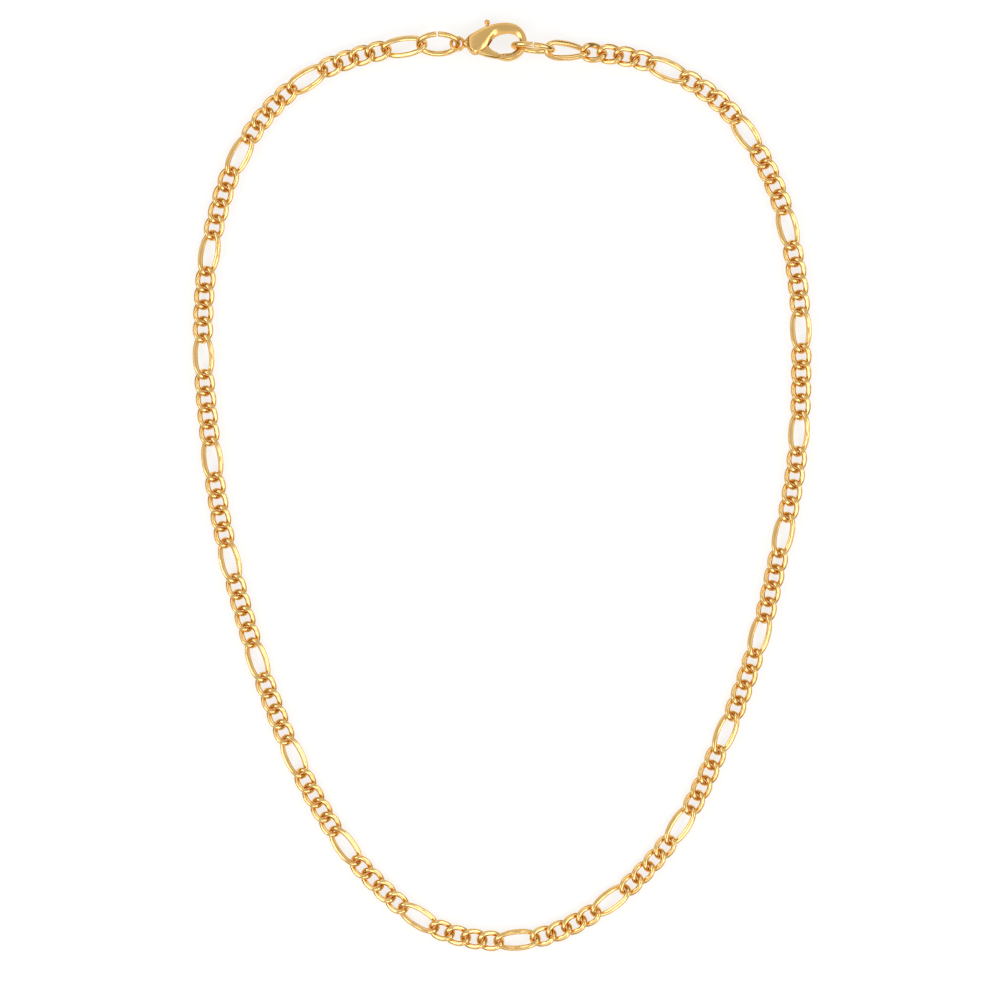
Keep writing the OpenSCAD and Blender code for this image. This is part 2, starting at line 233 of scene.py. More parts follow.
class ClaspSettings(bpy.types.PropertyGroup):
    """Sizes of the lobster clasp."""

    hook_r: length("Hook", 3.72 * MM, "Outer radius of the hook")
    rod_w: length("Rod", 1.34 * MM, "Width of the hook's rod")
    root_w: length("Root", 1.85 * MM, "Width of the hook where it leaves the body")
    body_l: length("Body", 7.85 * MM, "Middle of the hook to the neck")
    body_t: length("Thickness", 2.9 * MM, "Thickness of the body")
    eye_r: length("Eye", 1.18 * MM, "Radius of the eye, to the middle of its rim")
    eye_rim: length("Rim", 0.64 * MM, "Thickness of the eye's rim")
    lever_t: length("Lever", 1.36 * MM, "Thickness of the lever")
    hub_r: length("Hub", 1.15 * MM, "Radius of the lever's hub")
    pin_d: length("Rivet", 0.9 * MM, "Diameter of the rivet")
    nub_d: length("Nub", 1.06 * MM, "Diameter of the thumb nub's ball")


class FinishSettings(bpy.types.PropertyGroup):
    """Colours of the plating and the light of the stage."""

    link_gold: colour("Links", "#F3CF90", "Gold plate on the links")
    ring_gold: colour("Rings", "#F4CF8E", "Gold plate on the jump rings")
    clasp_gold: colour("Clasp", "#F0C986", "Gold plate on the cast clasp")
    floor: colour("Floor", "#8F8E8C", "Milky face of the light table")
    light: FloatProperty(name="Light", description="Power of each softbox in watts",
                         default=0.68, min=0.0, unit="POWER")


def catmull_rom(points, steps, closed):
    """Points of a smooth curve through the given rows, with a number of steps each.

    Between rows b and c, with neighbours a and d, the point at t is half of
    2b + (c - a)t + (2a - 5b + 4c - d)t^2 + (3b - a - 3c + d)t^3.
    """
    p = np.asarray(points, float)
    if closed:
        a, b, c, d = np.roll(p, 1, 0), p, np.roll(p, -1, 0), np.roll(p, -2, 0)
    else:
        e = np.concatenate([p[:1] * 2 - p[1:2], p, p[-1:] * 2 - p[-2:-1]])
        a, b, c, d = e[:-3], e[1:-2], e[2:-1], e[3:]
    t = (np.arange(steps) / steps)[None, :, None]
    a, b, c, d = (v[:, None, :] for v in (a, b, c, d))
    rows = (2 * b + (c - a) * t + (2 * a - 5 * b + 4 * c - d) * t**2
            + (3 * b - a - 3 * c + d) * t**3) / 2
    rows = rows.reshape(-1, p.shape[1])
    return np.concatenate([rows, p[:1] if closed else p[-1:]])


def signed_power(value, square):
    """The value's size to the power 2/square, with its sign kept."""
    return np.sign(value) * np.abs(value) ** (2 / square)


def smooth_step(t):
    """3t^2 - 2t^3 of t held between 0 and 1."""
    t = np.clip(t, 0, 1)
    return t * t * (3 - 2 * t)


def turned(x_axis, roll):
    """Axes of pieces that run along the given unit vectors, turned about them.

    The second axis lies level, at right angles to the first, and both others are
    then turned about the first by the roll.
    """
    level = np.cross([0.0, 0.0, 1.0], x_axis)
    level /= np.linalg.norm(level, axis=-1, keepdims=True)
    up = np.cross(x_axis, level)
    c, s = np.cos(roll)[..., None], np.sin(roll)[..., None]
    return np.stack([x_axis, c * level + s * up, c * up - s * level], axis=-2)


def grid_faces(rows, cols, close_rows):
    """Four-cornered faces of a grid that is closed across, and along where asked.

    Point i, j has number i * cols + j. Each face joins i, j to its neighbours at
    i + 1 and j + 1. Which side it looks to depends on the grid, and outward settles it.
    """
    i = np.arange(rows if close_rows else rows - 1)[:, None]
    j = np.arange(cols)[None, :]
    k, n = (i + 1) % rows, (j + 1) % cols
    corners = [i * cols + j, k * cols + j, k * cols + n, i * cols + n]
    return np.stack([np.broadcast_to(c, (len(i), cols)) for c in corners], -1).reshape(-1, 4)


def tube(line, radius, sides, closed, swell=0.0, square=2.0, low=1.0):
    """Wire along a line, as a grid of points: row by row of corners round it.

    Each corner is the line's point + radius * (cos(v) * out + low * sin(v) * up), with
    cos and sin to the power 2/square. Out points away from the origin, square to the
    line, and up is square to both. A square of 2 and a low of 1 make the wire round. A
    swell makes it thicker on its inner side only: the radius grows by it and the
    line's point moves in by as much.
    """
    ahead = np.roll(line, -1, 0) - np.roll(line, 1, 0)
    if not closed:
        ahead[0], ahead[-1] = line[1] - line[0], line[-1] - line[-2]
    along = ahead / np.linalg.norm(ahead, axis=1, keepdims=True)
    out = line - np.sum(line * along, 1, keepdims=True) * along
    out /= np.linalg.norm(out, axis=1, keepdims=True)
    up = np.cross(along, out)
    v = (np.arange(sides) / sides * 2 * np.pi)[None, :, None]
    square, low = np.reshape(square, (-1, 1, 1)), np.reshape(low, (-1, 1, 1))
    ring = (signed_power(np.cos(v), square) * out[:, None]
            + low * signed_power(np.sin(v), square) * up[:, None])
    swell = np.reshape(swell, (-1, 1))
    return (line - swell * out)[:, None] + (radius + swell)[:, :, None] * ring


def capped(grid):
    """Points and faces of an open tube whose two ends are closed by fans."""
    rows, cols = grid.shape[:2]
    points = grid.reshape(-1, 3)
    middles = np.stack([grid[0].mean(0), grid[-1].mean(0)])
    quads = grid_faces(rows, cols, False)
    j = np.arange(cols)
    n = (j + 1) % cols
    first = np.stack([np.full(cols, len(points)), j, n], -1)
    last = np.stack([np.full(cols, len(points) + 1),
                     (rows - 1) * cols + n, (rows - 1) * cols + j], -1)
    return np.concatenate([points, middles]), [quads, first, last]


def domed(grid, height, steps=4, square=5.0):
    """A tube's grid with its two ends rounded over by the given height.

    Row k of an end is the end row drawn in towards its middle by cos(a) to the power
    2/square and moved out by height * sin(a), with a running up to a right angle.
    """
    a = (np.arange(1, steps + 1) / (steps + 0.6) * np.pi / 2)[:, None, None]

    def end(row, before):
        middle = row.mean(0)
        out = middle - before.mean(0)
        out = out / np.linalg.norm(out)
        return (middle + (row - middle)[None] * signed_power(np.cos(a), square)
                + out * height * np.sin(a))

    return np.concatenate([end(grid[0], grid[1])[::-1], grid, end(grid[-1], grid[-2])])


def lathe(profile, axis_point, x_axis, y_axis, axis, sides, closed):
    """A surface turned about an axis: radius and height along the profile.

    Each point is the axis point + radius * (cos(v) * x + sin(v) * y) + height * axis.
    """
    r, h = np.asarray(profile, float).T
    v = np.arange(sides) / sides * 2 * np.pi
    round_ = np.cos(v)[:, None] * x_axis + np.sin(v)[:, None] * y_axis
    grid = axis_point + r[:, None, None] * round_[None] + (h[:, None] * axis)[:, None]
    if closed:
        return grid.reshape(-1, 3), [grid_faces(len(r), sides, True)]
    return capped(grid)


def merged(parts):
    """Points and face lists of several shapes as one, in their order."""
    points, faces, start = [], [], 0
    for p, f in parts:
        points.append(p)
        faces += [g + start for g in f]
        start += len(p)
    return np.concatenate(points), faces


def new_mesh(name, points, faces):
    """A mesh from an array of points and arrays of faces with like corner counts."""
    mesh = bpy.data.meshes.new(name)
    corners = np.concatenate([f.reshape(-1) for f in faces])
    counts = np.concatenate([np.full(len(f), f.shape[1]) for f in faces])
    mesh.vertices.add(len(points))
    mesh.vertices.foreach_set("co", np.asarray(points, np.float32).reshape(-1))
    mesh.loops.add(len(corners))
    mesh.loops.foreach_set("vertex_index", corners.astype(np.int32))
    mesh.polygons.add(len(counts))
    mesh.polygons.foreach_set("loop_start",
                              np.concatenate([[0], np.cumsum(counts)[:-1]]).astype(np.int32))
    mesh.update(calc_edges=True)
    mesh.validate()
    return mesh


def outward(mesh):
    """Turns the faces of a closed mesh over where they look inwards.

    Six times the volume is the sum of a . (b x c) over the corners of the triangles,
    and it is below zero where the faces look inwards.
    """
    mesh.calc_loop_triangles()
    points = np.empty(len(mesh.vertices) * 3, np.float32)
    mesh.vertices.foreach_get("co", points)
    corners = np.empty(len(mesh.loop_triangles) * 3, np.int32)
    mesh.loop_triangles.foreach_get("vertices", corners)
    triangle = points.reshape(-1, 3)[corners].reshape(-1, 3, 3).astype(float)
    a, b, c = triangle[:, 0], triangle[:, 1], triangle[:, 2]
    if np.sum(a * np.cross(b, c)) < 0:
        mesh.flip_normals()


def piece(name, mesh, material, crease=40):
    """An object at the origin with a smooth mesh that keeps its sharp edges."""
    outward(mesh)
    mesh.polygons.foreach_set("use_smooth", np.ones(len(mesh.polygons), bool))
    mesh.set_sharp_from_angle(angle=math.radians(crease))
    mesh.materials.clear()
    mesh.materials.append(material)
    obj = bpy.data.objects.new(name, mesh)
    bpy.context.scene.collection.objects.link(obj)
    return obj


def cut(mesh, cutters):
    """The mesh with closed cutter meshes taken out of it."""
    scene = bpy.context.scene
    body = bpy.data.objects.new("cut_body", mesh)
    scene.collection.objects.link(body)
    tools = []
    for cutter in cutters:
        tool = bpy.data.objects.new("cut_tool", cutter)
        scene.collection.objects.link(tool)
        tools.append(tool)
        modifier = body.modifiers.new("cut", "BOOLEAN")
        modifier.operation = "DIFFERENCE"
        modifier.solver = "EXACT"
        modifier.object = tool
    bpy.context.view_layer.update()
    result = bpy.data.meshes.new_from_object(
        body.evaluated_get(bpy.context.evaluated_depsgraph_get()))
    for obj in [body, *tools]:
        old = obj.data
        bpy.data.objects.remove(obj)
        bpy.data.meshes.remove(old)
    if len(result.polygons) == 0:
        raise RuntimeError("nothing is left of the piece after cutting")
    return result


def route_tables(chain, rings, clasp):
    """Lengths along the loop and its x and y, scaled to the whole piece's length."""
    curve = catmull_rom(ROUTE, 16, True) * MM
    steps = np.linalg.norm(np.diff(curve, axis=0), axis=1)
    lengths = np.concatenate([[0.0], np.cumsum(steps)])
    scale = layout(chain, rings, clasp)["loop"] / lengths[-1]
    return lengths * scale, curve * scale


def on_clasp(clasp, share):
    """A point of the clasp's drawing from shares of its body's length and hook's radius."""
    return np.array([share[0] * clasp.body_l, share[1] * clasp.hook_r])


def layout(chain, rings, clasp):
    """Lengths along the loop from hook-up to hook-up, and the clasp's own points."""
    chain_len = (chain.repeats * (chain.long_pitch + chain.short_run * chain.short_pitch)
                 + chain.long_pitch)
    ring_a = (rings.ring_l - rings.ring_d) / 2
    ring_hook = (chain.wire_d + rings.ring_d) / 2 + RING_PLAY * MM
    eye_hook = (clasp.eye_rim + rings.ring_d) / 2 + EYE_PLAY * MM
    rod_hook = (clasp.rod_w + rings.ring_d) / 2 + ROD_PLAY * MM
    rod_r = clasp.hook_r - clasp.rod_w / 2
    bearing = math.radians(RING_BEARING)
    eye_joint = on_clasp(clasp, EYE_AT) + [eye_hook / 2 - clasp.eye_r, 0]
    hook_joint = (rod_r * np.array([math.cos(bearing), math.sin(bearing)])
                  - [rod_hook / 2, 0])
    clasp_pitch = float(np.linalg.norm(hook_joint - eye_joint))
    left = 2 * ring_a - (ring_hook + eye_hook) / 2
    right = 2 * ring_a - (ring_hook + rod_hook) / 2
    return {
        "chain": chain_len, "left": left, "clasp": clasp_pitch,
        "loop": chain_len + left + clasp_pitch + right, "ring_hook": ring_hook,
        "eye_hook": eye_hook, "rod_hook": rod_hook, "eye_joint": eye_joint,
        "hook_joint": hook_joint,
    }


def settings():
    """The four property groups of the scene."""
    scene = bpy.context.scene
    return (scene.necklace_chain, scene.necklace_rings, scene.necklace_clasp,
            scene.necklace_finish)


def at_length(s, z):
    """Points of the loop at lengths s along it and heights z."""
    chain, rings, clasp, _ = settings()
    lengths, curve = route_tables(chain, rings, clasp)
    s, z = np.broadcast_arrays(np.asarray(s, float), np.asarray(z, float))
    return np.stack([np.interp(s, lengths, curve[:, 0]),
                     np.interp(s, lengths, curve[:, 1]), z], -1)


def link_line(half_l, half_w, square, twist, steps):
    """Middle line of a link: an oval whose plane turns along its length.

    x is half_l times cos(u) and w is half_w times sin(u), both to the power 2/square.
    The oval's plane is turned by -twist * (x / half_l)^1.2, with x's sign, so that y
    and z are w times the turn's cosine and sine. The points are then spaced evenly.
    """
    u = np.linspace(0, 2 * np.pi, FINE_STEPS)
    x = half_l * signed_power(np.cos(u), square)
    w = half_w * signed_power(np.sin(u), square)
    turn = -twist * np.sign(x) * (np.abs(x) / half_l) ** 1.2
    line = np.stack([x, w * np.cos(turn), w * np.sin(turn)], -1)
    run = np.concatenate([[0.0], np.cumsum(np.linalg.norm(np.diff(line, axis=0), axis=1))])
    even = np.arange(steps) / steps * run[-1]
    return np.stack([np.interp(even, run, line[:, k]) for k in range(3)], -1)


def chain_height(chain):
    """Height of the chain's middle line with its lowest wire on the floor."""
    line = link_line((chain.long_pitch + chain.wire_d + chain.link_gap) / 2,
                     (chain.long_opening + chain.wire_d) / 2, LONG_SQUARE,
                     chain.end_twist, 720)
    return chain.wire_d / 2 - float(line[:, 2].min()) + CHAIN_LIFT * MM


def links(first, last):
    """Points and faces of the links from one number to another."""
    chain, rings, _, _ = settings()
    hook_up = chain.wire_d + chain.link_gap
    total = chain.repeats * (chain.short_run + 1) + 1
    number = np.arange(total + 1)
    turn, rest = number // (chain.short_run + 1), number % (chain.short_run + 1)
    station = (turn * (chain.long_pitch + chain.short_run * chain.short_pitch)
               + np.where(rest == 0, 0, chain.long_pitch + (rest - 1) * chain.short_pitch))
    height = np.full(total + 1, chain_height(chain))
    height[0], height[1] = RIGHT_END_H * MM, SECOND_H * MM
    ring_b = (rings.ring_w - rings.ring_d) / 2
    height[-1] = ring_b * math.sin(rings.left_tilt) + rings.ring_d / 2
    joints = at_length(station, height)
    p, q = joints[:-1], joints[1:]
    run = (q - p) / np.linalg.norm(q - p, axis=1, keepdims=True)
    # Real links never lie quite alike: each is turned a little about its own length
    loose = np.random.default_rng(7).uniform(-1.6, 1.6, total)
    loose[:3] = 0
    roll = np.radians(FIRST_ROLL * ROLL_SHARE ** number[:-1] + loose)
    axes = turned(run, roll)
    middle = (p + q) / 2
    parts = []
    for long, pitch, opening, square, steps in (
            (True, chain.long_pitch, chain.long_opening, LONG_SQUARE, LONG_STEPS),
            (False, chain.short_pitch, chain.short_opening, SHORT_SQUARE, SHORT_STEPS)):
        line = link_line((pitch + hook_up) / 2, (opening + chain.wire_d) / 2, square,
                         chain.end_twist, steps)
        # The wire is upset where it was bent over and squeezed into its neighbour, and
        # its sides are pressed flat between the bends
        along = np.abs(line[:, 0]) / ((pitch + hook_up) / 2)
        bent = smooth_step((along - 0.6) / 0.4)
        flat = 1 - smooth_step((along - 0.35) / 0.45)
        swell = chain.upset * bent + 0.03 * MM * flat
        one = tube(line, WIRE_SHARE * chain.wire_d / 2, LINK_SIDES, True, swell,
                   2 + chain.flatness * flat, 1 - 0.12 * flat).reshape(-1, 3)
        chosen = ((rest[:-1] == 0) == long) & (number[:-1] >= first) & (number[:-1] <= last)
        laid = middle[chosen][:, None] + np.einsum("pk,lkc->lpc", one, axes[chosen])
        # A link that would dip into the floor lies on it
        laid[..., 2] += np.maximum(LINK_LIFT * MM - laid[..., 2].min(1), 0)[:, None]
        faces = grid_faces(steps, LINK_SIDES, True)
        starts = np.arange(len(laid)) * len(one)
        parts.append((laid.reshape(-1, 3),
                      [(faces[None] + starts[:, None, None]).reshape(-1, 4)]))
    return merged(parts)


def ring_shape(slit):
    """Points and faces of a slit oval ring round the origin, in its own plane.

    For a direction u, the middle line is the arc's centre + its radius * (cos u, sin u):
    the end arcs where |cos u| > 3/5, and the flatter side arcs elsewhere. The tube
    runs from one lip of the slit round to the other and its lips are rounded over.
    """
    _, rings, _, _ = settings()
    a, b = (rings.ring_l - rings.ring_d) / 2, (rings.ring_w - rings.ring_d) / 2
    end_r, side_r = (3 * b - a) / 2, 2 * a - b
    lip = 0.05 * MM
    middle = math.radians(92)
    half = (slit / 2 + lip) / side_r
    u = middle + half + np.linspace(0, 2 * np.pi - 2 * half, FINE_STEPS)
    end = np.abs(np.cos(u)) > 0.6
    radius = np.where(end, end_r, side_r)
    centre = np.stack([np.where(end, np.sign(np.cos(u)) * (a - end_r), 0),
                       np.where(end, 0, np.sign(np.sin(u)) * (b - side_r))], -1)
    line = np.zeros((len(u), 3))
    line[:, :2] = centre + radius[:, None] * np.stack([np.cos(u), np.sin(u)], -1)
    run = np.concatenate([[0.0], np.cumsum(np.linalg.norm(np.diff(line, axis=0), axis=1))])
    even = np.linspace(0, run[-1], 121)
    line = np.stack([np.interp(even, run, line[:, k]) for k in range(3)], -1)
    return capped(domed(tube(line, WIRE_SHARE * rings.ring_d / 2, 28, False), lip))


def placed(points, p, q, roll, shift=(0.0, 0.0, 0.0)):
    """Points drawn along x, moved half way between p and q and turned about that line."""
    run = q - p
    axes = turned(run / np.linalg.norm(run), np.asarray(roll))
    return (p + q) / 2 + (np.asarray(points) + shift) @ axes


def meeting_points():
    """Where the rings, the clasp and the chain's ends hook into each other."""
    chain, rings, clasp, _ = settings()
    places = layout(chain, rings, clasp)
    left_h = ((rings.ring_w - rings.ring_d) / 2 * math.sin(rings.left_tilt)
              + rings.ring_d / 2)
    start = places["chain"]
    hook_s = start + places["left"] + places["clasp"]
    return places, {
        "left": at_length(start, left_h),
        "eye": at_length(start + places["left"], left_h),
        "hook": at_length(hook_s, HOOK_H * MM),
        "hook_ring": at_length(hook_s, HOOK_END_H * MM),
        "right": at_length(0.0, LINK_END_H * MM),
    }


def lay_clasp(points):
    """Points of the clasp's own drawing, laid from the left ring to the right one."""
    places, spots = meeting_points()
    eye, hook = places["eye_joint"], places["hook_joint"]
    slant = math.atan2(hook[1] - eye[1], hook[0] - eye[0])
    c, s = math.cos(-slant), math.sin(-slant)
    flat = np.array([[c, -s, 0], [s, c, 0], [0, 0, 1]])
    middle = np.append((eye + hook) / 2, 0.0)
    return placed((np.asarray(points) - middle) @ flat.T, spots["eye"], spots["hook"],
                  math.radians(CLASP_ROLL))


def rib_surface(ribs, rounding, crown=0.05):
    """Skin through ribs that are flat on top, rounded at the back, sloped at the front.

    A rib has a back point, a front point, a thickness, a slope's share, a front wall's
    share and the share of the slope's fall that is even. In from the back the height is
    a quarter of an ellipse that is a rounding wide, and then it is level. Over the slope
    it falls to the front edge by (1 - wall) * (even t + (1 - even) t^2.5), with t from 0
    to 1. It is lowered by the crown times the squared distance from the rib's middle,
    where an end lies at 1, and mirrored for the underside.
    """
    ribs = np.asarray(ribs, float)
    back, front, half_t = ribs[:, None, 0:2], ribs[:, None, 2:4], ribs[:, None, 4] / 2
    slope, wall, even = ribs[:, None, 5], ribs[:, None, 6], ribs[:, None, 7]
    edge = np.minimum(rounding / np.linalg.norm(front - back, axis=2), 0.32)
    a = np.linspace(0, np.pi / 2, 9)[None]
    q = np.array([[0.2, 0.4, 0.6, 0.8, 0.97]])
    t = np.linspace(0, 1, 10)[None]
    level = np.ones_like(wall)
    share = np.concatenate([edge * (1 - np.cos(a)), edge + q * (1 - slope - edge),
                            1 - slope * (1 - t), level], 1)
    rise = np.concatenate([level * np.sin(a), level * (q * 0 + 1),
                           1 - (1 - wall) * (even * t + (1 - even) * t**2.5), wall * 0], 1)
    rise = rise * (1 - crown * (2 * share - 1) ** 2)
    flat = back + (front - back) * share[..., None]
    top = np.concatenate([flat, (rise * half_t)[..., None]], -1)
    return np.concatenate([top, (top * [1, 1, -1])[:, -2:0:-1]], 1)


def lever_geometry(clasp):
    """The lever's pivot, and the distance and direction of the hook's tip from it."""
    pivot = on_clasp(clasp, PIVOT_AT)
    rod_r = clasp.hook_r - clasp.rod_w / 2
    tip = math.radians(TIP_BEARING)
    tip_at = TIP_REACH * rod_r * np.array([math.cos(tip), math.sin(tip)])
    tip_r = float(np.linalg.norm(tip_at - pivot))
    tip_turn = math.degrees(math.atan2(tip_at[1] - pivot[1], tip_at[0] - pivot[0]))
    return pivot, tip_r, tip_turn


def from_pivot(pivot, radius, degrees):
    """The point at a distance and in a direction from the lever's pivot."""
    turn = math.radians(degrees)
    return pivot + radius * np.array([math.cos(turn), math.sin(turn)])


def room(pivot, corners, inner, half_t):
    """A closed prism about the pivot, in which the lever swings.

    Its outline is the larger of a circle of the inner radius and the corners' radius,
    taken in a straight run from corner to corner over the angle.
    """
    turn = np.radians(np.arange(360) - 180.25)
    angles = np.radians([c[1] for c in corners])
    radii = np.array([c[0] for c in corners])
    reach = np.interp(turn, angles, radii, left=0.0, right=0.0)
    reach = np.maximum(reach, inner)
    flat = pivot + reach[:, None] * np.stack([np.cos(turn), np.sin(turn)], -1)
    ring = np.stack([np.c_[flat, np.full(len(flat), z)] for z in (half_t, -half_t)])
    points, faces = capped(ring)
    return new_mesh("room", points, faces)


def clasp_body_mesh():
    """The cast body: skin through its ribs, with the lever's rooms and the bore cut out."""
    _, _, clasp, _ = settings()
    pivot, tip_r, tip_turn = lever_geometry(clasp)
    scale = np.array([clasp.body_l, clasp.hook_r, clasp.body_l, clasp.hook_r,
                      clasp.body_t, 1.0, 1.0])
    ribs = [[*row, 0.7] for row in np.array(BODY_RIBS) * scale]
    for turn in range(90, -91, -15):
        way = np.array([math.cos(math.radians(turn)), math.sin(math.radians(turn))])
        rise = math.sin(math.radians(turn)) ** 2 if turn > 0 else 0.0
        inner = clasp.hook_r - clasp.rod_w - (clasp.root_w - clasp.rod_w) * rise
        ribs.append([*(clasp.hook_r * way), *(inner * way),
                     clasp.body_t * (0.58 + 0.14 * rise), 0.4 + 0.08 * rise,
                     0.66 + 0.1 * rise**2, 0.9 - 0.2 * rise])
    ribs.append([*from_pivot(pivot, tip_r, tip_turn - TIP_SPREAD),
                 *from_pivot(pivot, tip_r, tip_turn + TIP_SPREAD), 0.54 * clasp.body_t,
                 0.3, 0.64, 0.9])
    skin = rib_surface(catmull_rom(ribs, 6, False), 0.5 * MM)
    points, faces = capped(domed(skin, 0.04 * MM))
    slot_half = clasp.lever_t / 2 + SLOT_GAP * MM
    gate = [[c[0] * clasp.body_l, c[1]] for c in GATE_ROOM]
    arm = [[c[0] * clasp.body_l, c[1] + ARM_TURN] for c in ARM_ROOM]
    bore_r = clasp.pin_d / 2 + BORE_GAP * MM
    bore = capped(np.stack([
        np.c_[pivot + bore_r * np.stack([np.cos(v), np.sin(v)], -1), np.full(len(v), z)]
        for v in [np.arange(48) / 48 * 2 * np.pi]
        for z in (slot_half + BORE_DEPTH * MM, -clasp.body_t)]))
    return cut(new_mesh("shell", points, faces), [
        room(pivot, gate, clasp.hub_r + HUB_GAP * MM, slot_half),
        room(pivot, arm, ARM_ROOM_R * MM, ARM_ROOM_H * MM),
        new_mesh("bore", *bore),
    ])


def eye_shapes():
    """The eye's ring and the ball of the neck that joins it to the body."""
    _, _, clasp, _ = settings()
    eye = np.append(on_clasp(clasp, EYE_AT), 0.0)
    v = np.arange(72) / 72 * 2 * np.pi
    line = clasp.eye_r * np.stack([np.cos(v), np.sin(v), 0 * v], -1)
    ring = tube(line, clasp.eye_rim / 2, 24, True)
    shapes = [(ring.reshape(-1, 3) + eye, [grid_faces(72, 24, True)])]
    neck = np.append(on_clasp(clasp, NECK_AT), 0.0)
    # The ball ends inside the casting, short of the room in which the hub turns
    w = np.linspace(-88, 20, 17) * np.pi / 180
    ball = NECK_R * MM * np.stack([np.cos(w), np.sin(w)], -1)
    shapes.append(lathe(ball, neck, np.array([0, 1.0, 0]), np.array([0, 0, 1.0]),
                        np.array([1.0, 0, 0]), 32, False))
    return merged(shapes)


def lever_shapes():
    """The gate's skin through its ribs, the hub, the arm and the thumb nub."""
    _, _, clasp, _ = settings()
    pivot, tip_r, tip_turn = lever_geometry(clasp)
    t = clasp.lever_t
    ribs = [[r[0] * clasp.body_l, r[1] * clasp.hook_r,
             r[2] * clasp.body_l, r[3] * clasp.hook_r, t, 0.25, 0.45, 0.7] for r in GATE_RIBS]
    reach = tip_r - TIP_GAP * MM
    ribs.append([*from_pivot(pivot, reach, tip_turn + GATE_SPREAD),
                 *from_pivot(pivot, reach, tip_turn - GATE_SPREAD), t, 0.28, 0.45, 0.7])
    gate = capped(domed(rib_surface(catmull_rom(ribs, 6, False), 0.3 * MM), 0.03 * MM))
    x, y, z = np.eye(3)
    edge = 0.08 * MM
    hole = clasp.pin_d / 2 + PIN_GAP * MM
    hub = lathe([[hole, -t / 2], [clasp.hub_r - edge, -t / 2], [clasp.hub_r, edge - t / 2],
                 [clasp.hub_r, t / 2 - edge], [clasp.hub_r - edge, t / 2], [hole, t / 2]],
                np.append(pivot, 0.0), x, y, z, 48, True)
    arm_end = np.append(from_pivot(pivot, ARM_LEN * MM, ARM_TURN), 0.0)
    way = np.append(arm_end[:2] - pivot, 0.0) / (ARM_LEN * MM)
    w = np.linspace(0, 88, 9) * np.pi / 180
    rod = np.concatenate([[[ARM_R * MM, -2.0 * MM]],
                          ARM_R * MM * np.stack([np.cos(w), np.sin(w)], -1)])
    arm = lathe(rod, arm_end, z, np.cross(way, z), way, 28, False)
    nub = np.append(on_clasp(clasp, NUB_AT), 0.0)
    r = NUB_SHARE * clasp.nub_d / 2
    w = np.linspace(-48, 88, 18) * np.pi / 180
    stem = nub[1] - arm_end[1]
    profile = np.concatenate([
        [[0.36 * MM, -stem], [0.31 * MM, -0.8 * stem], [0.28 * MM, -0.62 * stem]],
        np.stack([r * np.cos(w), r * np.sin(w)], -1)])
    knob = lathe(profile, nub, z, x, y, 32, False)
    return merged([gate, hub, arm, knob])


def rivet_shape():
    """The rivet: a turned pin with a low domed head at the back of the body."""
    _, _, clasp, _ = settings()
    pivot, _, _ = lever_geometry(clasp)
    r = clasp.pin_d / 2
    low = 0.06 * MM - clasp.body_t / 2
    high = clasp.lever_t / 2 + SLOT_GAP * MM + BORE_DEPTH * MM
    w = np.linspace(5, 85, 7) * np.pi / 180
    head = np.stack([r * np.sin(w), low + 0.1 * MM * (1 - np.cos(w))], -1)
    x, y, z = np.eye(3)
    return lathe(np.concatenate([head, [[r, high - 0.05 * MM], [r - 0.05 * MM, high]]]),
                 np.append(pivot, 0.0), x, y, z, 40, False)


def node(tree, kind, inputs=None, **options):
    """Adds a shader node, with its own options and its inputs set or linked."""
    made = tree.nodes.new(kind)
    for key, value in options.items():
        setattr(made, key, value)
    for key, value in (inputs or {}).items():
        if isinstance(value, bpy.types.NodeSocket):
            tree.links.new(value, made.inputs[key])
        else:
            made.inputs[key].default_value = value
    return made


def new_material(name):
    """An empty node material and its tree."""
    material = bpy.data.materials.new(name)
    material.use_nodes = True
    tree = material.node_tree
    tree.nodes.clear()
    return material, tree


